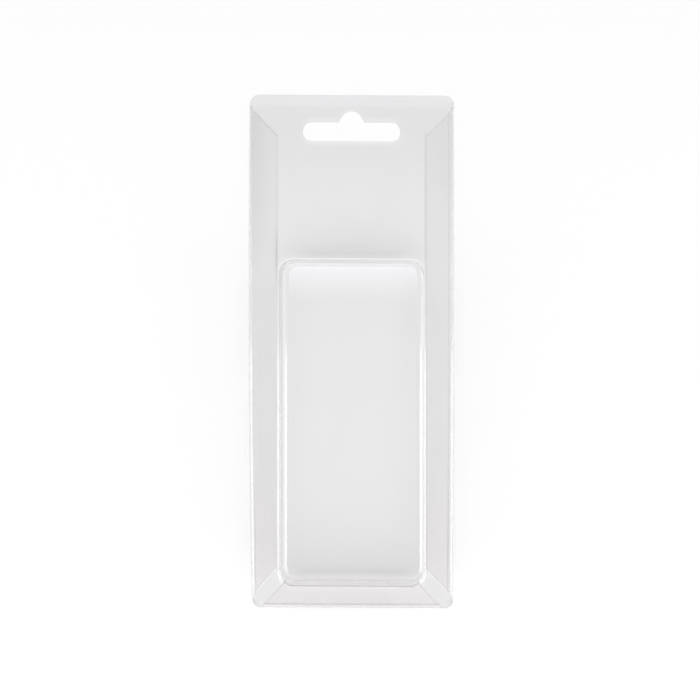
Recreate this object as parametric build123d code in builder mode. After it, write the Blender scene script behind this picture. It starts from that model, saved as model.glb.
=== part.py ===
from build123d import *
from math import cos, radians, tan
import os

# Clear slide blister: one sheet of thin plastic, formed with a deep bubble and folded back along
# three edges. The front panel is a tall rounded rectangle with a hang hole near its top. The
# bubble for the goods rises from its lower part. The left, right and bottom edges turn back
# behind the panel, so that a backing card slides in from the open top edge and is held there.
# The flap ends are mitred, so that no two flaps lie on each other.
#
# The pack lies on its folded flaps with the bubble up. +Y runs to the hang hole and +Z out of the
# bubble. The origin is in the middle of the panel, in the plane that the flaps lie on.
# Lengths are in millimetres and angles in degrees.

# Sheet
sheet_thickness = 0.35

# Front panel, measured over its folds
panel_width = 67.0
panel_height = 167.5
panel_corner_radius = 3.0

# Folded edges
card_gap = 2.0  # clear height of the card slot between the panel and the flaps
flap_reach = 9.5  # from the outer line of a fold to the free edge of its flap
mitre_setback = 3.2  # from a corner of the panel to where a fold starts
mitre_angle = 45.0  # between a mitred flap end and its fold
flap_corner_radius = 2.0

# Bubble, measured where the outsides of its walls meet the front of the panel
bubble_width = 47.7
bubble_height = 107.2
bubble_depth = 18.0
bubble_margin = 6.6  # from the bottom edge of the panel
bubble_corner_radius = 4.8
side_draft = 4.0
top_draft = 6.0
bottom_draft = 10.5
face_edge_radius = 2.4
foot_radius = 1.0

# Hang hole: a long slot with a round notch above its middle
hang_slot_width = 32.0
hang_slot_height = 6.1
hang_slot_drop = 11.7  # from the top edge of the panel to the slot's middle
hang_notch_radius = 4.0
hang_notch_rise = 6.6  # from the slot's middle to the top of the notch
hang_notch_blend = 0.8  # rounds the two corners where the notch meets the slot

# Levels and places that follow from the values above
panel_back = sheet_thickness + card_gap
panel_front = panel_back + sheet_thickness
bubble_face = panel_front + bubble_depth
fold_radius = panel_front / 2  # outside of each half turn
half_width = panel_width / 2
half_height = panel_height / 2
bubble_bottom = -half_height + bubble_margin
bubble_top = bubble_bottom + bubble_height
hang_slot_middle = half_height - hang_slot_drop

# The three folded edges: a plane whose origin is on the outer line of the fold, whose X runs along
# the edge and whose Y points into the panel, with the length of that edge of the panel
folded_edges = [
    (Plane((-half_width, 0, 0), x_dir=(0, -1, 0)), panel_height),
    (Plane((half_width, 0, 0), x_dir=(0, 1, 0)), panel_height),
    (Plane((0, -half_height, 0), x_dir=(1, 0, 0)), panel_width),
]


def mitred_strip(edge_length, reach):
    """Corners of a strip along a folded edge, as wide as reach, with both ends mitred."""
    half_outer_line = edge_length / 2 - mitre_setback
    half_inner_line = half_outer_line - reach / tan(radians(mitre_angle))
    return [
        (-half_outer_line, 0),
        (half_outer_line, 0),
        (half_inner_line, reach),
        (-half_inner_line, reach),
    ]


def folded_flap(edge_plane, edge_length):
    """The half turn of one edge, with the flap behind the panel."""
    section_plane = Plane(edge_plane.origin, x_dir=edge_plane.y_dir, z_dir=edge_plane.x_dir)
    with BuildPart() as flap:
        # Section across the edge, drawn along the middle of the sheet
        with BuildSketch(section_plane):
            with BuildLine():
                middle_radius = fold_radius - sheet_thickness / 2
                half_turn = CenterArc((fold_radius, fold_radius), middle_radius, 90, 180)
                Line(half_turn @ 1, (flap_reach, sheet_thickness / 2))
            trace(line_width=sheet_thickness)
        extrude(amount=edge_length / 2, both=True)
        # Both ends mitred
        with BuildSketch(edge_plane):
            Polygon(*mitred_strip(edge_length, flap_reach), align=None)
        extrude(amount=panel_front, mode=Mode.INTERSECT)
        free_edge = flap.faces().sort_by(Axis(edge_plane.origin, edge_plane.y_dir))[-1]
        fillet(free_edge.edges().filter_by(Axis.Z), radius=flap_corner_radius)
    return flap.part


def wall_line(level, draft, inset):
    """How far a wall stands inside its line on the panel's front, at a level and moved in by inset."""
    return (level - panel_front) * tan(radians(draft)) + inset / cos(radians(draft))


def bubble_form(inset):
    """Solid form of the bubble from the panel's back up, its walls and face moved in by inset."""
    foot = panel_back
    face = bubble_face - inset
    with BuildPart() as form:
        # Side view, with the two end walls
        with BuildSketch(Plane.YZ):
            Polygon(
                (bubble_bottom + wall_line(foot, bottom_draft, inset), foot),
                (bubble_top - wall_line(foot, top_draft, inset), foot),
                (bubble_top - wall_line(face, top_draft, inset), face),
                (bubble_bottom + wall_line(face, bottom_draft, inset), face),
                align=None,
            )
        extrude(amount=panel_width, both=True)
        # Front view, with the two side walls
        foot_half_width = bubble_width / 2 - wall_line(foot, side_draft, inset)
        face_half_width = bubble_width / 2 - wall_line(face, side_draft, inset)
        with BuildSketch(Plane.XZ):
            Polygon(
                (-foot_half_width, foot),
                (foot_half_width, foot),
                (face_half_width, face),
                (-face_half_width, face),
                align=None,
            )
        extrude(amount=panel_height, both=True, mode=Mode.INTERSECT)
        wall_corners = form.edges().group_by(Axis.Z)[1]
        fillet(wall_corners, radius=bubble_corner_radius - inset)
        face_outline = form.faces().sort_by(Axis.Z)[-1].edges()
        fillet(face_outline, radius=face_edge_radius - inset)
    return form.part


def has_inner_line(face):
    """Whether a face has an outline inside its own, as the panel has around the bubble."""
    return len(face.inner_wires()) > 0


flaps = [folded_flap(edge_plane, edge_length) for edge_plane, edge_length in folded_edges]
bubble_outside = bubble_form(0)
bubble_inside = bubble_form(sheet_thickness)

with BuildPart() as blister_tray:
    # Flat panel with the bubble standing on it, round at its foot
    with BuildSketch(Plane.XY.offset(panel_back)):
        RectangleRounded(panel_width, panel_height, panel_corner_radius)
    extrude(amount=sheet_thickness)
    add(bubble_outside)
    front_face = blister_tray.faces().filter_by(has_inner_line).sort_by(Axis.Z)[-1]
    fillet(front_face.inner_wires()[0].edges(), radius=foot_radius)

    # Hollow of the bubble, open at the panel's back
    add(bubble_inside, mode=Mode.SUBTRACT)
    back_face = blister_tray.faces().filter_by(has_inner_line).sort_by(Axis.Z)[0]
    fillet(back_face.inner_wires()[0].edges(), radius=foot_radius + sheet_thickness)

    # Hang hole
    with BuildSketch(Plane.XY.offset(panel_back)) as hang_hole:
        with Locations((0, hang_slot_middle)):
            SlotOverall(hang_slot_width, hang_slot_height)
        with Locations((0, hang_slot_middle + hang_notch_rise - hang_notch_radius)):
            Circle(hang_notch_radius)
        slot_top = hang_hole.vertices().group_by(Axis.Y)[-1]
        notch_corners = slot_top.filter_by_position(Axis.X, -hang_notch_radius, hang_notch_radius)
        fillet(notch_corners, radius=hang_notch_blend)
    extrude(amount=sheet_thickness, mode=Mode.SUBTRACT)

    # Each folded edge gives up the strip of panel that its half turn takes
    for edge_plane, edge_length in folded_edges:
        with BuildSketch(edge_plane.offset(panel_back)):
            Polygon(*mitred_strip(edge_length, fold_radius), align=None)
        extrude(amount=sheet_thickness, mode=Mode.SUBTRACT)
    for flap in flaps:
        add(flap)

blister_tray.part.label = "blister_tray"
os.makedirs("parts", exist_ok=True)
export_step(blister_tray.part, "parts/blister_tray.step")
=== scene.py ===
from math import cos, pi, radians, sin, tan

import bmesh
import bpy
from mathutils import Matrix, Vector
from mathutils.geometry import delaunay_2d_cdt
from mathutils.kdtree import KDTree


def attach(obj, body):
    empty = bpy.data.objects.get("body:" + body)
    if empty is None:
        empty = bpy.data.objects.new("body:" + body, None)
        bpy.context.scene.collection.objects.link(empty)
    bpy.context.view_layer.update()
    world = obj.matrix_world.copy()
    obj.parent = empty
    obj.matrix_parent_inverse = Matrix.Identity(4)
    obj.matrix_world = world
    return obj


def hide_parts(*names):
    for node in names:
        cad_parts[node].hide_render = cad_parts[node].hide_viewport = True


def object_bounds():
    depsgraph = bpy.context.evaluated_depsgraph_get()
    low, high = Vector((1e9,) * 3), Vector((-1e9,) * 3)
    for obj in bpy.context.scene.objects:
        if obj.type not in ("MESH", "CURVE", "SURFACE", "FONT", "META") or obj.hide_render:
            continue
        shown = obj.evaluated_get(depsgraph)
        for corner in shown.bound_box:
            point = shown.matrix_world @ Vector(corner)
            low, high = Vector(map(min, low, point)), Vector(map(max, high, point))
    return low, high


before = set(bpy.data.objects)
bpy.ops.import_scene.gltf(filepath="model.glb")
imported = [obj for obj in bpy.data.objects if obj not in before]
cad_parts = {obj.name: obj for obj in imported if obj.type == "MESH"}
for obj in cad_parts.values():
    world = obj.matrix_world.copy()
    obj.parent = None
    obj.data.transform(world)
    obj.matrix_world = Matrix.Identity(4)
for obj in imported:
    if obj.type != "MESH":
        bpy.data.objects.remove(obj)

# A clear slide blister lies on a white table with its bubble up, seen from above. The outside of
# its sheet is one mesh, in metres, and a Solidify modifier makes the sheet thick.

NODE = "blister_tray"
MM = 0.001
CAD_LOW, CAD_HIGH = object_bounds()

# Panel and folded edges
PANEL_WIDTH = CAD_HIGH.x - CAD_LOW.x
PANEL_HEIGHT = CAD_HIGH.y - CAD_LOW.y
SHEET = 0.35 * MM
CARD_GAP = 2.0 * MM
CORNER_RADIUS = 3.0 * MM
FLAP_REACH = 9.5 * MM
MITRE_SETBACK = 3.2 * MM
FLAP_CORNER_RADIUS = 2.0 * MM
PANEL_LEVEL = SHEET + CARD_GAP + SHEET / 2
FOLD_RADIUS = SHEET + CARD_GAP / 2
FOLD_MIDDLE_RADIUS = FOLD_RADIUS - SHEET / 2
# How far a flap's mitred ends are straight, from the fold's outer line
MITRE_REACH = FLAP_REACH - FLAP_CORNER_RADIUS * (1 - cos(pi / 4))

# Each folded edge: a point on its outer line, the way along it, the way into the panel, its length
FOLDED_EDGES = [
    (Vector((CAD_HIGH.x, 0)), Vector((0, 1)), Vector((-1, 0)), PANEL_HEIGHT),
    (Vector((CAD_LOW.x, 0)), Vector((0, -1)), Vector((1, 0)), PANEL_HEIGHT),
    (Vector((0, CAD_LOW.y)), Vector((1, 0)), Vector((0, 1)), PANEL_WIDTH),
]

# Low ridge that the cutting knife leaves along the flaps' free edges
LIP_WIDTH = 0.7 * MM
LIP_HEIGHT = 0.12 * MM

# Bubble, by the outsides of its walls
BUBBLE_WIDTH = 47.7 * MM
BUBBLE_BOTTOM = CAD_LOW.y + 6.6 * MM
BUBBLE_TOP = BUBBLE_BOTTOM + 107.2 * MM
BUBBLE_CORNER_RADIUS = 4.8 * MM
# Each wall's draft, the radius at its foot and the radius where it meets the face
SIDE_WALL = (radians(4.0), 1.0 * MM, 2.4 * MM)
TOP_WALL = (radians(6.0), 0.6 * MM, 1.9 * MM)
BOTTOM_WALL = (radians(12.4), 2.2 * MM, 3.7 * MM)
# Shares of its thickness that the sheet loses in the walls and gets back on the face
DRAWN_SHARE = 0.55
FACE_SHARE = 0.2

# Hang hole
HANG_WIDTH = 32.0 * MM
HANG_HEIGHT = 6.1 * MM
HANG_MIDDLE = CAD_HIGH.y - 11.7 * MM
NOTCH_RADIUS = 4.0 * MM
NOTCH_RISE = 6.6 * MM
NOTCH_BLEND = 0.8 * MM

# How the real sheet has warped. A band says where a change sets in and where it is complete.
# Each side bows out: how far at one height, and by which factor of the squared distance from that
# height it does so less
BOW_BAND = (24.5 * MM, 33.5 * MM)
BOW_HEIGHT = 22.6 * MM
RIGHT_BOW = (0.27 * MM, 0.035)
LEFT_BOW = (-0.12 * MM, -0.086)
# Both ends are longer
END_BAND = (76 * MM, 83 * MM)
TOP_STRETCH = 0.35 * MM
BOTTOM_STRETCH = -0.4 * MM
# The whole sheet is skew, and less so towards its top
SKEW = 0.0055
SKEW_CHANGE = 0.04
# The strip along the top edge is bent down, along a slightly wavy line
BEND_ANGLE = radians(2)
BEND_HEIGHT = CAD_HIGH.y - 3.7 * MM
BEND_WAVE = 0.25 * MM
BEND_WAVE_LENGTHS = (3.1 * MM, 7.7 * MM)
# The bubble's face falls off towards its upper end
CROWN_START = BUBBLE_TOP - 16 * MM
CROWN_LENGTH = 12 * MM
CROWN_DROP = 0.8 * MM
CROWN_BAND = (CAD_HIGH.z - 6 * MM, CAD_HIGH.z - 1 * MM)

# Spacing of the mesh
GRID = 1.6 * MM
GRID_CLEARANCE = 0.6 * GRID  # that the grid keeps from the outlines
EDGE_STEP = 0.8 * MM
ARC_STEP = radians(7.5)
JOIN_DISTANCE = 0.005 * MM
# Narrow strips beside a bend, which keep the flat parts flat
FLAT_STRIP = 0.3 * MM
FOLD_STRIPS = [0.3 * MM, 0.6 * MM, 0.9 * MM, 1.3 * MM]
BEND_STRIPS = [-0.5 * MM, 0.0, 0.5 * MM]
# Steps along the bend to each side of the middle
BEND_STEPS = 38
# How far the last points of a folded edge's rows lie from its ends
END_STEPS = [0.0, 0.2 * MM, 0.4 * MM, 0.6 * MM, 0.9 * MM]
# Numbers of steps in the sections of the walls and the folds, and round the bubble's corners
FOOT_STEPS, WALL_STEPS, FACE_STEPS = 9, 12, 12
TURN_STEPS, FLAP_STEPS, FLAP_CORNER_STEPS = 18, 7, 6
CORNER_STEPS = 16


def smooth(low, high, value):
    """Eases from 0 at a low value to 1 at a high one."""
    share = min(1.0, max(0.0, (value - low) / (high - low)))
    return share * share * (3 - 2 * share)


def line(distance, middle, half_width):
    """1 in the middle of a soft line across a distance, 0 outside it."""
    return 1.0 - smooth(0.0, half_width, abs(distance - middle))


def arc(middle, radius, start, end):
    """Points on an arc, from one angle to the other, both ends included."""
    count = max(2, round(abs(end - start) / ARC_STEP))
    angles = [start + (end - start) * i / count for i in range(count + 1)]
    return [middle + radius * Vector((cos(angle), sin(angle))) for angle in angles]


def spread(start, end, step):
    """Points between two others at about the given step, the ends left out."""
    count = max(1, round((end - start).length / step))
    return [start.lerp(end, i / count) for i in range(1, count)]


def closed_outline(stretches, step):
    """One closed outline: the stretches in order, with straight runs between them filled in."""
    points = []
    for here, following in zip(stretches, stretches[1:] + stretches[:1]):
        points += here
        points += spread(here[-1], following[0], step)
    return points


def inside(point, outline):
    """Whether a point lies inside a closed outline."""
    within = False
    for a, b in zip(outline, outline[1:] + outline[:1]):
        if (a.y > point.y) != (b.y > point.y):
            if point.x < a.x + (point.y - a.y) * (b.x - a.x) / (b.y - a.y):
                within = not within
    return within


def flat_sheet(outline, holes, extra=()):
    """Triangles of a flat region between an outline and its holes, with an even grid inside.
    Gives the points and the triangles. The outlines' points come first, then the extra ones."""
    rings = [outline] + holes
    points = [point for ring in rings for point in ring] + list(extra)
    edges = []
    start = 0
    for ring in rings:
        edges += [(start + i, start + (i + 1) % len(ring)) for i in range(len(ring))]
        start += len(ring)
    tree = KDTree(len(points))
    for i, point in enumerate(points):
        tree.insert(point.to_3d(), i)
    tree.balance()
    low = Vector((min(p.x for p in outline), min(p.y for p in outline)))
    high = Vector((max(p.x for p in outline), max(p.y for p in outline)))
    columns = round((high.x - low.x) / GRID)
    rows = round((high.y - low.y) / GRID)
    for row in range(rows):
        # Every other row stands half a step further, as in brickwork
        shift = 0.5 * (row % 2)
        for column in range(columns):
            point = low + Vector(((column + shift) * GRID, (row + 0.5) * GRID))
            if not inside(point, outline) or any(inside(point, hole) for hole in holes):
                continue
            if tree.find(point.to_3d())[2] > GRID_CLEARANCE:
                points.append(point)
    found = delaunay_2d_cdt(points, edges, [], 1, 1e-9)
    corners = found[0]
    triangles = []
    for face in found[2]:
        centre = sum((corners[i] for i in face), Vector((0, 0))) / len(face)
        if inside(centre, outline) and not any(inside(centre, hole) for hole in holes):
            triangles.append(face)
    return corners, triangles


def hang_hole():
    """Outline of the slot with its round notch, anticlockwise from the slot's right end."""
    end_radius = HANG_HEIGHT / 2
    end = HANG_WIDTH / 2 - end_radius
    notch = Vector((0, HANG_MIDDLE + NOTCH_RISE - NOTCH_RADIUS))
    # The blends touch the slot's top line from inside the sheet and the notch from outside
    blend_level = HANG_MIDDLE + end_radius + NOTCH_BLEND
    reach = NOTCH_RADIUS + NOTCH_BLEND
    blend_x = (reach ** 2 - (blend_level - notch.y) ** 2) ** 0.5
    rise = (Vector((blend_x, blend_level)) - notch).angle_signed(Vector((1, 0)))
    return closed_outline([
        arc(Vector((end, HANG_MIDDLE)), end_radius, -pi / 2, pi / 2),
        arc(Vector((blend_x, blend_level)), NOTCH_BLEND, -pi / 2, -pi + rise),
        arc(notch, NOTCH_RADIUS, rise, pi - rise),
        arc(Vector((-blend_x, blend_level)), NOTCH_BLEND, -rise, -pi / 2),
        arc(Vector((-end, HANG_MIDDLE)), end_radius, pi / 2, 3 * pi / 2),
    ], EDGE_STEP)


def wall_section(draft, outer_foot_radius, outer_face_radius):
    """Middle of the sheet from the panel over the foot and up a wall to the face, as pairs of how
    far out it lies from where the wall's outside meets the panel's front, and a level."""
    foot_radius = outer_foot_radius + SHEET / 2
    face_radius = outer_face_radius - SHEET / 2
    face_level = CAD_HIGH.z - SHEET / 2
    # Where the wall's middle line meets the panel's middle and the face's middle
    at_panel = (SHEET / 2) * tan(draft) - SHEET / 2 / cos(draft)
    at_face = at_panel - (face_level - PANEL_LEVEL) * tan(draft)
    turn = pi / 2 - draft
    foot_length = foot_radius * tan(turn / 2)
    face_length = face_radius * tan(turn / 2)
    section = [(at_panel + foot_length + FLAT_STRIP, PANEL_LEVEL)]
    for i in range(FOOT_STEPS + 1):
        angle = turn * i / FOOT_STEPS
        section.append((
            at_panel + foot_length - foot_radius * sin(angle),
            PANEL_LEVEL + foot_radius * (1 - cos(angle)),
        ))
    lower = Vector(section[-1])
    upper = Vector((
        at_face - face_length + face_radius * sin(turn),
        face_level - face_radius * (1 - cos(turn)),
    ))
    for i in range(1, WALL_STEPS):
        section.append(tuple(lower.lerp(upper, i / WALL_STEPS)))
    for i in range(FACE_STEPS + 1):
        angle = turn * (1 - i / FACE_STEPS)
        section.append((
            at_face - face_length + face_radius * sin(angle),
            face_level - face_radius * (1 - cos(angle)),
        ))
    section.append((at_face - face_length - FLAT_STRIP, face_level))
    return section


def bubble_ring(side, top, bottom):
    """Points of one ring around the bubble, anticlockwise from its right side's upper corner, as
    many on every ring. Each wall gives how far out it lies and its level."""
    half_width = BUBBLE_WIDTH / 2 + side[0]
    high = BUBBLE_TOP + top[0]
    low = BUBBLE_BOTTOM - bottom[0]
    # The corner keeps its distance from the walls' outsides
    radius = BUBBLE_CORNER_RADIUS + side[0] + (side[1] - PANEL_LEVEL) * tan(SIDE_WALL[0])
    side_steps = round((BUBBLE_TOP - BUBBLE_BOTTOM) / GRID)
    end_steps = round(BUBBLE_WIDTH / GRID)
    # Each corner: its centre, and the levels at its start and at its end
    corners = [
        (Vector((half_width - radius, high - radius)), side[1], top[1]),
        (Vector((radius - half_width, high - radius)), top[1], side[1]),
        (Vector((radius - half_width, low + radius)), side[1], bottom[1]),
        (Vector((half_width - radius, low + radius)), bottom[1], side[1]),
    ]
    points = []
    for quarter, (centre, start_level, end_level) in enumerate(corners):
        for i in range(CORNER_STEPS + 1):
            turn = pi / 2 * (quarter + i / CORNER_STEPS)
            share = sin(pi / 2 * i / CORNER_STEPS) ** 2
            level = start_level + (end_level - start_level) * share
            place = centre + radius * Vector((cos(turn), sin(turn)))
            points.append(place.to_3d() + Vector((0, 0, level)))
        following = corners[(quarter + 1) % 4][0] + radius * Vector((cos(turn), sin(turn)))
        run_end = following.to_3d() + Vector((0, 0, end_level))
        steps = (end_steps, side_steps)[quarter % 2]
        run_start = points[-1]
        points += [run_start.lerp(run_end, i / steps) for i in range(1, steps)]
    return points


def bubble_rings():
    """Rings from the foot's outer line on the panel to the inner line of the face's edge."""
    walls = zip(*(wall_section(*wall) for wall in (SIDE_WALL, TOP_WALL, BOTTOM_WALL)))
    return [bubble_ring(*levels) for levels in walls]


def flap_half_length(edge_length, distance):
    """Half the length of a folded edge at a distance inwards from the fold's outer line, with
    its ends mitred and the flap's free corners rounded."""
    half_outer = edge_length / 2 - MITRE_SETBACK
    if distance <= MITRE_REACH:
        return half_outer - distance
    centre = half_outer - MITRE_REACH - FLAP_CORNER_RADIUS * sin(pi / 4)
    across = distance - (FLAP_REACH - FLAP_CORNER_RADIUS)
    return centre + max(0.0, FLAP_CORNER_RADIUS ** 2 - across ** 2) ** 0.5


def flap_lip(distance):
    """Height of the ridge at a distance inwards from a flap's free edge."""
    if not 0 < distance < LIP_WIDTH:
        return 0.0
    return LIP_HEIGHT * sin(pi * distance / LIP_WIDTH) ** 2


def fold_section():
    """Middle of the sheet from the panel round the half turn to the flap's free edge, as pairs of
    a distance from the fold's outer line and a level."""
    section = [(FOLD_RADIUS + strip, PANEL_LEVEL) for strip in reversed(FOLD_STRIPS)]
    for i in range(TURN_STEPS + 1):
        angle = pi * i / TURN_STEPS
        section.append((
            FOLD_RADIUS - FOLD_MIDDLE_RADIUS * sin(angle),
            FOLD_RADIUS + FOLD_MIDDLE_RADIUS * cos(angle),
        ))
    for i in range(1, FLAP_STEPS + 1):
        distance = FOLD_RADIUS + (MITRE_REACH - FOLD_RADIUS) * i / FLAP_STEPS
        section.append((distance, SHEET / 2))
    for i in range(1, FLAP_CORNER_STEPS + 1):
        angle = pi / 4 * (1 - i / FLAP_CORNER_STEPS)
        distance = FLAP_REACH - FLAP_CORNER_RADIUS * (1 - cos(angle))
        section.append((distance, SHEET / 2))
    return section


def along_places(edge_length, half):
    """Places along a row of a folded edge, closer together near its two ends."""
    count = round(2 * flap_half_length(edge_length, FOLD_RADIUS) / GRID)
    inner = half - GRID
    ends = [half - step for step in END_STEPS]
    middle = [inner * (2 * i / count - 1) for i in range(count + 1)]
    return [-place for place in ends] + middle + ends[::-1]


def fold_line(edge):
    """Points where the panel goes over into the half turn of one edge, along the edge."""
    origin, along, inwards, edge_length = edge
    half = flap_half_length(edge_length, FOLD_RADIUS)
    strips = [FOLD_RADIUS] + [FOLD_RADIUS + strip for strip in FOLD_STRIPS]
    innermost = strips.pop()
    start = [origin + inwards * distance - along * half for distance in strips]
    end = [origin + inwards * distance + along * half for distance in reversed(strips)]
    places = along_places(edge_length, half)
    return start + [origin + inwards * innermost + along * place for place in places] + end


def panel_outline():
    """Outline of the flat panel, anticlockwise from the right end of its bottom edge."""
    right, left, bottom = (fold_line(edge) for edge in FOLDED_EDGES)
    side = CAD_HIGH.x
    inner_x = side - CORNER_RADIUS
    inner_low = CAD_LOW.y + CORNER_RADIUS
    inner_high = CAD_HIGH.y - CORNER_RADIUS
    # Where the folds end beside the panel's corners
    fold_x = side - MITRE_SETBACK
    fold_low = CAD_LOW.y + MITRE_SETBACK
    fold_high = CAD_HIGH.y - MITRE_SETBACK
    return closed_outline([
        bottom,
        [Vector((fold_x, CAD_LOW.y))],
        arc(Vector((inner_x, inner_low)), CORNER_RADIUS, -pi / 2, 0),
        [Vector((side, fold_low))],
        right,
        [Vector((side, fold_high))],
        arc(Vector((inner_x, inner_high)), CORNER_RADIUS, 0, pi / 2),
        arc(Vector((-inner_x, inner_high)), CORNER_RADIUS, pi / 2, pi),
        [Vector((-side, fold_high))],
        left,
        [Vector((-side, fold_low))],
        arc(Vector((-inner_x, inner_low)), CORNER_RADIUS, pi, 3 * pi / 2),
        [Vector((-fold_x, CAD_LOW.y))],
    ], EDGE_STEP)


def bend_line(x):
    """Height at which the strip along the top edge bends down."""
    first, second = BEND_WAVE_LENGTHS
    return BEND_HEIGHT + BEND_WAVE * sin(x / first) * cos(x / second)


def bowed(point):
    """Where a point of the straight sheet lies in the real one."""
    most, taper = RIGHT_BOW if point.x > 0 else LEFT_BOW
    bow = most - taper * (point.y - BOW_HEIGHT) ** 2
    x = point.x + smooth(*BOW_BAND, abs(point.x)) * bow
    stretch = TOP_STRETCH if point.y > 0 else BOTTOM_STRETCH
    end = smooth(*END_BAND, abs(point.y)) * stretch
    y = point.y + end - point.x * (SKEW - SKEW_CHANGE * point.y)
    on_panel = point.z > CARD_GAP
    drop = max(0.0, point.y - bend_line(point.x)) * tan(BEND_ANGLE) if on_panel else 0.0
    crown = max(0.0, point.y - CROWN_START) / CROWN_LENGTH
    sink = smooth(*CROWN_BAND, point.z) * CROWN_DROP * crown ** 2
    return Vector((x, y, point.z - drop - sink))


def wall_share(point):
    """How thick the sheet is at a point, from 1 on the panel: forming draws the walls thinner."""
    if point.z < PANEL_LEVEL:
        return 1.0
    drawn = smooth(PANEL_LEVEL, PANEL_LEVEL + 2 * SIDE_WALL[1], point.z)
    flap_tone_and_shade = smooth(CAD_HIGH.z - SIDE_WALL[2], CAD_HIGH.z - SHEET, point.z)
    return 1.0 - DRAWN_SHARE * drawn + FACE_SHARE * flap_tone_and_shade


# Marks on the sheet, from 0 to 1: grey marks are painted shade, on the flaps' cut edges together
# with the edges themselves, and white marks make the sheet scatter light. A soft line is given by
# its middle and its half width, and a change by where it sets in and where it is complete.
# Each folded edge: how far its crease lies from its outer line, how grey the painted shade along
# the crease is in the upper and in the lower part, and how grey the painted dark line along the
# outer line is. Both are painted shade for the dark lines that the half turn's refraction and
# shadow give
CREASE_SHADES = [
    (1.8 * MM, 0.45, 0.7, 0.1),
    (1.5 * MM, 0.12, 0.45, 0.3),
    (1.2 * MM, 0.95, 0.95, 0.4),
]
CREASE_HALF_WIDTH = 0.36 * MM
OUTER_LINE_WIDTH = 0.8 * MM
OUTER_LINE_OVERRUN = 0.1 * MM
LOWER_PART = (-30 * MM, -62 * MM)
# The flaps' cut edges, greyed partly for the edge itself and partly as painted shade for its
# shadow on the table. The long one on the left is only clear around one height
FLAP_EDGE_SHADE = 0.55
FLAP_EDGE_LINE = (0.45 * MM, 0.28 * MM)
LEFT_EDGE_SHADE = 0.3
LEFT_EDGE_CLEAR = (31 * MM, 14 * MM)
MITRE_WHITE_LINE = (0.0, 0.45 * MM)
# How far past a flap's free edge, and past any of its edges, points still take its marks
PAST_REACH = 0.3 * MM
PAST_EDGE = 0.2 * MM
# Painted shade: a dark line along the panel's cut edge, at its top and at its bottom
PANEL_RIM = 0.12 * MM
TOP_RIM_SHADE = 0.25
BOTTOM_RIM_SHADE = 0.6
# Painted shade on the single sheet between two mitred flaps, across the gap and along it
GAP_SHADE = 0.26
GAP_ACROSS = (3.2 * MM, 4.8 * MM)
GAP_ALONG = (8 * MM, 12 * MM)
# Painted shadow and shade around the bubble, each in the middle of the panel's width and less
# towards the sides: the bubble's painted shadow above it, a painted shade line along the lower
# edge of its face, and painted shade on its lower wall
ABOVE_SHADOW = 0.33
ABOVE_SIDES = (11 * MM, 23 * MM)
ABOVE_LINE = (BUBBLE_TOP + 1.5 * MM, 2.8 * MM)
FACE_LEVEL = CAD_HIGH.z - 1.5 * MM
FACE_SHADE = 0.25
FACE_SIDES = (15 * MM, 20 * MM)
FACE_LINE = (BUBBLE_BOTTOM + 6.6 * MM, 2.2 * MM)
WALL_SHADE = 0.45
WALL_SIDES = (18 * MM, 23 * MM)
WALL_TOP = BUBBLE_BOTTOM + 5 * MM
WALL_BAND = (PANEL_LEVEL + 2 * MM, PANEL_LEVEL + 6 * MM)


def from_outline(point):
    """How far a point of the panel lies inside the panel's outline."""
    across = PANEL_WIDTH / 2 - abs(point.x)
    up = PANEL_HEIGHT / 2 - abs(point.y)
    if max(across, up) < CORNER_RADIUS:
        return CORNER_RADIUS - Vector((CORNER_RADIUS - across, CORNER_RADIUS - up)).length
    return min(across, up)


def fold_marks(point):
    """How grey painted shade makes the sheet along the folded edges' creases and outer lines, and
    along their flaps' cut edges together with the edges themselves, and how white the mitred ends
    are."""
    shade = white = 0.0
    lower = smooth(*LOWER_PART, point.y)
    for edge, (crease, upper_shade, lower_shade, outer_shade) in zip(FOLDED_EDGES, CREASE_SHADES):
        origin, along, inwards, edge_length = edge
        offset = point.to_2d() - origin
        distance = offset.dot(inwards)
        place = abs(offset.dot(along))
        half_fold = edge_length / 2 - MITRE_SETBACK - distance
        if point.z < FOLD_RADIUS and FOLD_RADIUS < distance < FLAP_REACH + PAST_REACH:
            half = flap_half_length(edge_length, min(distance, FLAP_REACH))
            from_long_edge = FLAP_REACH - distance
            from_edge = min(from_long_edge, (half - place) / 2 ** 0.5)
            if from_edge > -PAST_EDGE:
                mitred = from_edge < from_long_edge
                strength = FLAP_EDGE_SHADE
                if origin.x < 0 and not mitred:
                    clear = line(point.y, *LEFT_EDGE_CLEAR)
                    strength = LEFT_EDGE_SHADE + (1 - LEFT_EDGE_SHADE) * clear
                shade = max(shade, strength * line(from_edge, *FLAP_EDGE_LINE))
                if mitred:
                    white = max(white, line(from_edge, *MITRE_WHITE_LINE))
        elif point.z > FOLD_RADIUS and place < half_fold:
            strength = upper_shade + (lower_shade - upper_shade) * lower
            shade = max(shade, strength * line(distance, crease, CREASE_HALF_WIDTH))
        if distance < FOLD_RADIUS and place < half_fold + OUTER_LINE_OVERRUN:
            shade = max(shade, outer_shade * (1.0 - smooth(0.0, OUTER_LINE_WIDTH, distance)))
    return shade, white


def panel_marks(point):
    """How grey painted shade makes the sheet at a point of the flat panel: along its cut edge,
    between the mitred flaps and in the bubble's shadow above it.
    """
    rim = 0.0
    if from_outline(point) < PANEL_RIM:
        rim = TOP_RIM_SHADE if point.y > 0 else BOTTOM_RIM_SHADE
    across = PANEL_WIDTH / 2 - abs(point.x)
    up = PANEL_HEIGHT / 2 + point.y
    gap = 1.0 - smooth(*GAP_ACROSS, abs(across - up))
    gap *= 1.0 - smooth(*GAP_ALONG, max(across, up))
    above = (1.0 - smooth(*ABOVE_SIDES, abs(point.x))) * line(point.y, *ABOVE_LINE)
    return max(rim, GAP_SHADE * gap, ABOVE_SHADOW * above)


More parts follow.
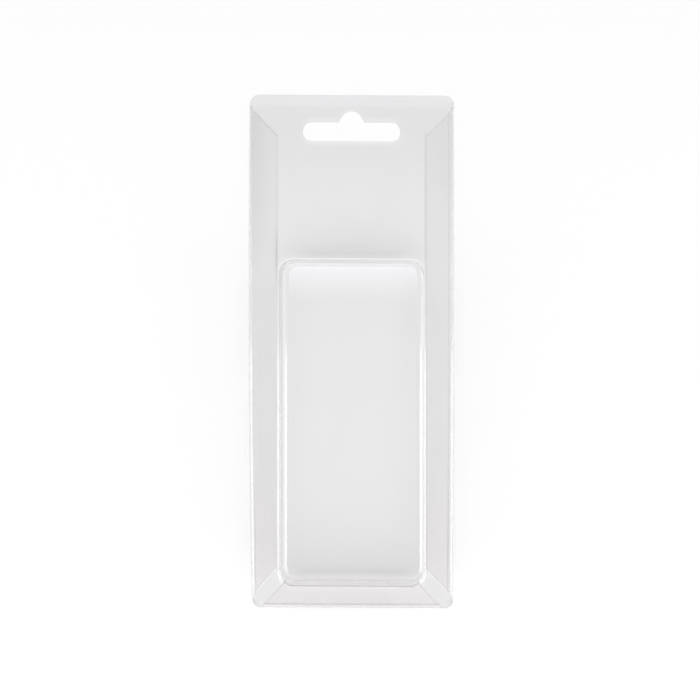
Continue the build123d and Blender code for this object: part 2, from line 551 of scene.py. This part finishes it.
def bubble_marks(point):
    """How grey painted shade makes the sheet at a point of the bubble: along the lower edge of its
    face and on its lower wall.
    """
    if point.z > FACE_LEVEL:
        middle = 1.0 - smooth(*FACE_SIDES, abs(point.x))
        return FACE_SHADE * middle * line(point.y, *FACE_LINE)
    if point.y < WALL_TOP:
        middle = 1.0 - smooth(*WALL_SIDES, abs(point.x))
        return WALL_SHADE * middle * smooth(*WALL_BAND, point.z)
    return 0.0


def marks(point):
    """How strongly painted shade greys the sheet, along cut edges and creases, between the mitred
    flaps and around the bubble, and how strongly the mitred ends are whitened, at a point of the
    straight sheet."""
    shade, white = fold_marks(point)
    if abs(point.z - PANEL_LEVEL) < SHEET:
        shade = max(shade, panel_marks(point))
    return max(shade, bubble_marks(point)), white


class SheetMesh:
    """Collects the sheet's points and faces, and joins points that lie on each other."""

    def __init__(self):
        self.mesh = bmesh.new()

    def add(self, points, faces):
        """Adds faces, each given by the numbers of its points."""
        corners = [self.mesh.verts.new(point) for point in points]
        for face in faces:
            self.mesh.faces.new([corners[i] for i in face])

    def add_flat(self, points, faces, level):
        """Adds faces of a flat region at a level."""
        self.add([point.to_3d() + Vector((0, 0, level)) for point in points], faces)

    def add_rows(self, rows, closed):
        """Adds quads between rows of points. A closed row runs round to its start."""
        width = len(rows[0])
        points = [point for row in rows for point in row]
        faces = []
        for r in range(len(rows) - 1):
            for c in range(width if closed else width - 1):
                following = (c + 1) % width
                faces.append((
                    r * width + c,
                    r * width + following,
                    (r + 1) * width + following,
                    (r + 1) * width + c,
                ))
        self.add(points, faces)

    def finish(self, name):
        """Gives the mesh on the sheet's outside, and the share of its thickness at each point."""
        bmesh.ops.remove_doubles(self.mesh, verts=self.mesh.verts, dist=JOIN_DISTANCE)
        bmesh.ops.recalc_face_normals(self.mesh, faces=self.mesh.faces)
        highest = max(self.mesh.faces, key=lambda face: face.calc_center_median().z)
        if highest.normal.z < 0:
            bmesh.ops.reverse_faces(self.mesh, faces=self.mesh.faces)
        shares = [wall_share(corner.co) for corner in self.mesh.verts]
        # From the middle of the sheet to its outside
        places = [corner.co + corner.normal * SHEET / 2 for corner in self.mesh.verts]
        for corner, place in zip(self.mesh.verts, places):
            corner.co = bowed(place)
        data = bpy.data.meshes.new(name)
        self.mesh.to_mesh(data)
        self.mesh.free()
        return data, shares


def folded_rows(edge):
    """Rows of points of one folded edge, from the panel round the half turn to the flap's end."""
    origin, along, inwards, edge_length = edge
    rows = []
    for distance, level in fold_section():
        # On the panel the rows are as long as the fold beside them
        on_panel = level > FOLD_RADIUS and distance > FOLD_RADIUS
        half = flap_half_length(edge_length, FOLD_RADIUS if on_panel else distance)
        row = []
        for place in along_places(edge_length, half):
            spot = origin + inwards * distance + along * place
            from_edge = min(FLAP_REACH - distance, (half - abs(place)) / 2 ** 0.5)
            lift = flap_lip(from_edge) if level < FOLD_RADIUS else 0.0
            row.append(Vector((spot.x, spot.y, level + lift)))
        rows.append(row)
    return rows


def blister_mesh():
    """The whole sheet: panel, bubble and folded edges."""
    sheet = SheetMesh()
    rings = bubble_rings()
    foot = rings[0]
    face = rings[-1]
    bend = []
    for offset in BEND_STRIPS:
        for i in range(-BEND_STEPS, BEND_STEPS + 1):
            x = i * EDGE_STEP
            bend.append(Vector((x, bend_line(x) + offset)))
    holes = [hang_hole(), [p.to_2d() for p in foot]]
    sheet.add_flat(*flat_sheet(panel_outline(), holes, bend), PANEL_LEVEL)
    sheet.add_rows(rings, closed=True)
    sheet.add_flat(*flat_sheet([p.to_2d() for p in face], []), face[0].z)
    for edge in FOLDED_EDGES:
        sheet.add_rows(folded_rows(edge), closed=False)
    return sheet.finish("blister_sheet")


def node_tools(owner):
    """Empties the nodes of a material, world or lamp and gives a maker of nodes and a joiner of
    sockets."""
    owner.use_nodes = True
    tree = owner.node_tree
    tree.nodes.clear()

    def node(kind, **settings):
        """A new node with these settings."""
        made = tree.nodes.new(kind)
        for key, value in settings.items():
            setattr(made, key, value)
        return made

    return node, tree.links.new


def value_tools(node, link):
    """Makers of an easing value and of a sum, product or other combination of two values."""

    def ease(socket, start, end, first, last):
        """A value that eases from first to last as a socket's value goes from start to end."""
        made = node("ShaderNodeMapRange", interpolation_type="SMOOTHSTEP")
        made.inputs["From Min"].default_value = start
        made.inputs["From Max"].default_value = end
        made.inputs["To Min"].default_value = first
        made.inputs["To Max"].default_value = last
        link(socket, made.inputs["Value"])
        return made.outputs["Result"]

    def combine(operation, a, b=0.0):
        """The result of an operation on sockets or numbers."""
        made = node("ShaderNodeMath", operation=operation)
        for i, value in enumerate((a, b)):
            if isinstance(value, float):
                made.inputs[i].default_value = value
            else:
                link(value, made.inputs[i])
        return made.outputs[0]

    return ease, combine


# Clear plastic
ROUGHNESS = 0.05
REFRACTION = 1.57
# Painted shade in the sheet's clearness, eased between two places and from one value to the other:
# the panel gets greyer towards the hang hole, and so does the upper part of the left flap
FLAP_LEVEL = 1.0 * MM  # flaps lie below it
PANEL_PAINTED_SHADE = (25 * MM, 78 * MM, 1.0, 0.868)
FLAP_CLEARNESS = 0.998
LEFT_FLAP_PAINTED_SHADE = (-25 * MM, -32 * MM, 0.0, 0.065)
UPPER_FLAP = (10 * MM, 50 * MM, 0.2, 1.0)
# How far the painted shade marks take the sheet's colour down
SHADE_MARK_CLEARNESS = (0.0, 1.0, 1.0, 0.7)
# Slight clouds in the sheet
CLOUD_SCALE = 60.0
CLOUD_DETAIL = 1.0
CLOUD_CLEARNESS = (0.3, 0.7, 0.995, 1.0)
# The sheet's colour where it is clear, warmer towards the bottom, and where it isn't
PLAIN_COLOUR = (1.0, 1.0, 1.0, 1)
WARM_COLOUR = (1.0, 0.989, 0.992, 1)
BLACK = (0.0, 0.0, 0.0, 1)
WARMTH = (-20 * MM, -60 * MM, 0.0, 1.0)
# Share of the lamps' light that passes one face of the sheet: where it is flat by its slope, on
# the walls by their height, and on the folds
FLATNESS = (0.2, 0.9, 0.0, 1.0)
FLAT_PASSES = 0.996
WALL_PASSES = (PANEL_LEVEL + 0.5 * MM, PANEL_LEVEL + 3 * MM, 0.62, 0.84)
FOLD_PASSES = 0.93
# Light caught inside the sheet comes out after this many turns, undimmed
MOST_TURNS = 5.5


def clear_plastic():
    """Clear sheet with a faint grey tint, and with shade painted into its colour. Rays that only
    carry lamp light to the table pass straight through, dimmed as much as the sheet really dims
    them at their angle."""
    material = bpy.data.materials.new("clear_plastic")
    node, link = node_tools(material)
    ease, combine = value_tools(node, link)
    output = node("ShaderNodeOutputMaterial")
    plastic = node("ShaderNodeBsdfPrincipled")
    plastic.inputs["Roughness"].default_value = ROUGHNESS
    plastic.inputs["IOR"].default_value = REFRACTION

    # Colour, with shade painted into it
    place = node("ShaderNodeTexCoord")
    spot = node("ShaderNodeSeparateXYZ")
    link(place.outputs["Object"], spot.inputs[0])
    x, y, z = (spot.outputs[axis] for axis in "XYZ")
    painted_panel_shade = combine("MAXIMUM", ease(y, *PANEL_PAINTED_SHADE), combine("LESS_THAN", z, FLAP_LEVEL))
    upper_left_shade = combine("MULTIPLY", ease(x, *LEFT_FLAP_PAINTED_SHADE), ease(y, *UPPER_FLAP))
    flap_tone_and_shade = combine("MAXIMUM", combine("SUBTRACT", FLAP_CLEARNESS, upper_left_shade),
                   combine("GREATER_THAN", z, FLAP_LEVEL))
    cloud = node("ShaderNodeTexNoise")
    cloud.inputs["Scale"].default_value = CLOUD_SCALE
    cloud.inputs["Detail"].default_value = CLOUD_DETAIL
    link(place.outputs["Object"], cloud.inputs["Vector"])
    # Painted shade from the grey marks darkens the sheet, on top of random clouds
    painted_shade_mark = node("ShaderNodeAttribute", attribute_name="painted_shade_mark")
    cloud_and_mark_shade = combine("MULTIPLY", ease(cloud.outputs["Fac"], *CLOUD_CLEARNESS),
                   ease(painted_shade_mark.outputs["Fac"], *SHADE_MARK_CLEARNESS))
    tone_and_painted_shade = combine("MULTIPLY", combine("MULTIPLY", painted_panel_shade, flap_tone_and_shade), cloud_and_mark_shade)
    warmth = node("ShaderNodeMix", data_type="RGBA")
    warmth.inputs["A"].default_value = PLAIN_COLOUR
    warmth.inputs["B"].default_value = WARM_COLOUR
    link(ease(y, *WARMTH), warmth.inputs["Factor"])
    colour = node("ShaderNodeMix", data_type="RGBA")
    colour.inputs["A"].default_value = BLACK
    link(warmth.outputs["Result"], colour.inputs["B"])
    link(tone_and_painted_shade, colour.inputs["Factor"])
    link(colour.outputs["Result"], plastic.inputs["Base Color"])
    # The mitred ends are whitened: they scatter light instead of letting it through
    white_mark = node("ShaderNodeAttribute", attribute_name="white_mark")
    clear = ease(white_mark.outputs["Fac"], 0.0, 1.0, 1.0, 0.0)
    link(clear, plastic.inputs["Transmission Weight"])

    # Lamp light that passes
    geometry = node("ShaderNodeNewGeometry")
    slope = node("ShaderNodeSeparateXYZ")
    link(geometry.outputs["Normal"], slope.inputs[0])
    flat = ease(combine("ABSOLUTE", slope.outputs["Z"]), *FLATNESS)
    below_panel = combine("LESS_THAN", z, PANEL_LEVEL + SHEET / 2)
    fold = combine("MULTIPLY", below_panel, FOLD_PASSES)
    bent = combine("MULTIPLY", combine("MAXIMUM", ease(z, *WALL_PASSES), fold),
                   combine("SUBTRACT", 1.0, flat))
    rays = node("ShaderNodeLightPath")
    caught = combine("GREATER_THAN", rays.outputs["Ray Depth"], MOST_TURNS)
    through = combine("ADD", combine("MULTIPLY", flat, FLAT_PASSES), bent)
    through = combine("MAXIMUM", through, caught)
    tint = node("ShaderNodeCombineColor")
    for channel in ("Red", "Green", "Blue"):
        link(through, tint.inputs[channel])
    passing = node("ShaderNodeBsdfTransparent")
    link(tint.outputs["Color"], passing.inputs["Color"])

    lamp_light = combine("MAXIMUM", rays.outputs["Is Shadow Ray"], rays.outputs["Is Diffuse Ray"])
    mix = node("ShaderNodeMixShader")
    link(combine("MAXIMUM", lamp_light, caught), mix.inputs["Fac"])
    link(plastic.outputs["BSDF"], mix.inputs[1])
    link(passing.outputs["BSDF"], mix.inputs[2])
    link(mix.outputs["Shader"], output.inputs["Surface"])
    return material


# Rounding of the sheet's cut edges, and the angles above which an edge is a cut one or is sharp
RIM_WIDTH = 0.1 * MM
RIM_SEGMENTS = 2
RIM_ANGLE = radians(60)
SHARP_ANGLE = radians(40)


def blister():
    """The clear blister in place of its plain solid."""
    outside, shares = blister_mesh()
    piece = bpy.data.objects.new("blister", outside)
    bpy.context.scene.collection.objects.link(piece)
    piece.data.materials.append(clear_plastic())
    group = piece.vertex_groups.new(name="thickness")
    for i, share in enumerate(shares):
        group.add([i], share, "REPLACE")
    thickness = piece.modifiers.new("thickness", "SOLIDIFY")
    thickness.thickness = SHEET
    thickness.offset = -1.0
    thickness.use_even_offset = True
    thickness.vertex_group = group.name
    rims = piece.modifiers.new("rims", "BEVEL")
    rims.width = RIM_WIDTH
    rims.segments = RIM_SEGMENTS
    rims.limit_method = "ANGLE"
    rims.angle_limit = RIM_ANGLE
    for polygon in piece.data.polygons:
        polygon.use_smooth = True
    graph = bpy.context.evaluated_depsgraph_get()
    thick = bpy.data.meshes.new_from_object(piece.evaluated_get(graph))
    piece.modifiers.clear()
    piece.data = thick
    thick.set_sharp_from_angle(angle=SHARP_ANGLE)
    # Marks are given on the straight sheet, so each point goes back by as much as bowing moves it
    found = [marks(2 * corner.co - bowed(corner.co)) for corner in thick.vertices]
    # The first mark is painted shade, the second whitens the mitred ends
    for i, name in enumerate(("painted_shade_mark", "white_mark")):
        values = thick.attributes.new(name, "FLOAT", "POINT")
        values.data.foreach_set("value", [pair[i] for pair in found])
    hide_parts(NODE)
    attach(piece, "root")
    return piece


# White table: its own colour and size, and its small distance below the object
TABLE_COLOUR = (0.8, 0.8, 0.8, 1)
TABLE_HALF = 1.5
TABLE_DROP = 0.05 * MM
# How much white is added. The camera and reflections see a little more of it than the clear sheet
# lets through, and far from the object the table is white too, where the lamps are weaker
WHITE_SEEN = 0.215
WHITE_THROUGH = 0.132
WHITE_FAR = (0.3, 1.2, 0.0, 0.8)


def white_table():
    """A white table that still shows the object's shadow."""
    material = bpy.data.materials.new("white_table")
    node, link = node_tools(material)
    ease, combine = value_tools(node, link)
    output = node("ShaderNodeOutputMaterial")
    paper = node("ShaderNodeBsdfDiffuse")
    paper.inputs["Color"].default_value = TABLE_COLOUR
    lift = node("ShaderNodeEmission")
    rays = node("ShaderNodeLightPath")
    place = node("ShaderNodeNewGeometry")
    distance = node("ShaderNodeVectorMath", operation="LENGTH")
    link(place.outputs["Position"], distance.inputs[0])
    camera_ray = rays.outputs["Is Camera Ray"]
    through_sheet = rays.outputs["Is Transmission Ray"]
    only_glossy = combine("SUBTRACT", rays.outputs["Is Glossy Ray"], through_sheet)
    seen_plainly = combine("MAXIMUM", camera_ray, combine("MAXIMUM", only_glossy, 0.0))
    near = combine("ADD", combine("MULTIPLY", seen_plainly, WHITE_SEEN),
                   combine("MULTIPLY", through_sheet, WHITE_THROUGH))
    far = combine("MULTIPLY", combine("MAXIMUM", camera_ray, through_sheet),
                  ease(distance.outputs["Value"], *WHITE_FAR))
    link(combine("ADD", near, far), lift.inputs["Strength"])
    both = node("ShaderNodeAddShader")
    link(paper.outputs["BSDF"], both.inputs[0])
    link(lift.outputs["Emission"], both.inputs[1])
    link(both.outputs["Shader"], output.inputs["Surface"])

    data = bpy.data.meshes.new("table")
    half = TABLE_HALF
    corners = [(-half, -half, 0), (half, -half, 0), (half, half, 0), (-half, half, 0)]
    data.from_pydata(corners, [], [(0, 1, 2, 3)])
    data.materials.append(material)
    table = bpy.data.objects.new("table", data)
    table.location.z = -TABLE_DROP
    bpy.context.scene.collection.objects.link(table)


# Lamps and cards: name, place, the point they shine at, size in metres and power in watts. A large
# key lamp stands below the picture and two low lamps at the sides of its lower half. The cards on
# all four sides only show in reflections and through the sheet.
KEY_LAMP = ("key_lamp", (0.0, -1.45, 2.6), (0, 0, 0), (2.2, 2.8), 52.5)
SIDE_LAMPS = [
    ("left_lamp", (-1.2, -0.55, 0.42), (0, -0.55, 0), (1.1, 0.8), 6.2),
    ("right_lamp", (1.2, -0.55, 0.42), (0, -0.55, 0), (1.1, 0.8), 6.2),
]
TOP_CARD = ("top_card", (0.0, 0.853, 0.981), (0, 0, 0), (1.3, 2.0), 16)
OTHER_CARDS = [
    ("left_card", (-1.3, 0.3, 0.5), (0, 0, 0), (2.2, 0.8), 2.9),
    ("right_card", (1.3, 0.3, 0.5), (0, 0, 0), (2.2, 0.8), 2.9),
    ("bottom_card", (0.0, -1.3, 0.45), (0, 0, 0), (2.0, 0.7), 1.0),
]
CARD_COLOUR = (0.88, 0.85, 1.0)
# Heights between which the top card's light grows and fades again, with its shares there
CARD_GROWS = (0.45, 0.8, 0.3, 1.0)
CARD_FADES = (1.2, 1.66, 1.0, 0.0)
# Strength of the world's light and of the white that the camera sees instead of it. Through the
# clear sheet that white shows near the horizon, and is gone higher up
WORLD_LIGHT = 0.405
WORLD_SEEN = 1.0
HORIZON = (0.1, 0.4, 1.0, 0.0)


def lamp(name, place, target, size, power):
    """A rectangular soft lamp that shines from a place to a target."""
    data = bpy.data.lights.new(name, "AREA")
    data.shape = "RECTANGLE"
    data.size, data.size_y = size
    data.energy = power
    lamp_object = bpy.data.objects.new(name, data)
    lamp_object.location = place
    aim = Vector(target) - Vector(place)
    lamp_object.rotation_euler = aim.to_track_quat("-Z", "Y").to_euler()
    bpy.context.scene.collection.objects.link(lamp_object)
    return lamp_object


def fade_out(card):
    """Lets a card's light fade towards its lower and its upper edge."""
    node, link = node_tools(card.data)
    ease, combine = value_tools(node, link)
    output = node("ShaderNodeOutputLight")
    glow = node("ShaderNodeEmission")
    place = node("ShaderNodeNewGeometry")
    axes = node("ShaderNodeSeparateXYZ")
    link(place.outputs["Position"], axes.inputs[0])
    grows = ease(axes.outputs["Z"], *CARD_GROWS)
    fades = ease(axes.outputs["Z"], *CARD_FADES)
    link(combine("MULTIPLY", grows, fades), glow.inputs["Strength"])
    link(glow.outputs["Emission"], output.inputs["Surface"])


def lights():
    """All the lamps and cards."""
    key = lamp(*KEY_LAMP)
    key.visible_glossy = False
    key.visible_transmission = False
    for values in SIDE_LAMPS:
        lamp(*values)
    top = lamp(*TOP_CARD)
    fade_out(top)
    for card in [top] + [lamp(*values) for values in OTHER_CARDS]:
        card.data.color = CARD_COLOUR
        card.visible_diffuse = False


def studio_world():
    """Soft even light. The camera sees white behind the table, and so does what passes through
    the clear sheet near the horizon."""
    world = bpy.data.worlds.new("studio")
    bpy.context.scene.world = world
    node, link = node_tools(world)
    ease, combine = value_tools(node, link)
    output = node("ShaderNodeOutputWorld")
    background = node("ShaderNodeBackground")
    rays = node("ShaderNodeLightPath")
    place = node("ShaderNodeTexCoord")
    axes = node("ShaderNodeSeparateXYZ")
    link(place.outputs["Generated"], axes.inputs[0])
    low = ease(axes.outputs["Z"], *HORIZON)
    low_through_sheet = combine("MULTIPLY", rays.outputs["Is Transmission Ray"], low)
    white = combine("MAXIMUM", rays.outputs["Is Camera Ray"], low_through_sheet)
    strength = ease(white, 0.0, 1.0, WORLD_LIGHT, WORLD_SEEN)
    link(strength, background.inputs["Strength"])
    background.inputs["Color"].default_value = (1, 1, 1, 1)
    link(background.outputs["Background"], output.inputs["Surface"])


# Camera: looks straight down from a little to the object's left, through a long lens
PIXELS_PER_METRE = 3047
FRAME_PIXELS = 700
CAMERA_TARGET = Vector((-0.5, 0.5, 2.0)) * MM
CAMERA_DISTANCE = 0.9
CAMERA_TILT = radians(2.0)
SENSOR = 36.0


def camera():
    """The photograph's view."""
    data = bpy.data.cameras.new("camera")
    data.sensor_width = SENSOR
    data.lens = SENSOR * CAMERA_DISTANCE * PIXELS_PER_METRE / FRAME_PIXELS
    away = Vector((-sin(CAMERA_TILT), 0, cos(CAMERA_TILT)))
    up = Vector((0, 1, 0))
    right = up.cross(away)
    turn = Matrix((right, up, away)).transposed().to_4x4()
    view = bpy.data.objects.new("camera", data)
    view.matrix_world = Matrix.Translation(CAMERA_TARGET + away * CAMERA_DISTANCE) @ turn
    bpy.context.scene.collection.objects.link(view)
    bpy.context.scene.camera = view


camera()
blister()
white_table()
lights()
studio_world()
bpy.context.scene.view_settings.view_transform = "Standard"
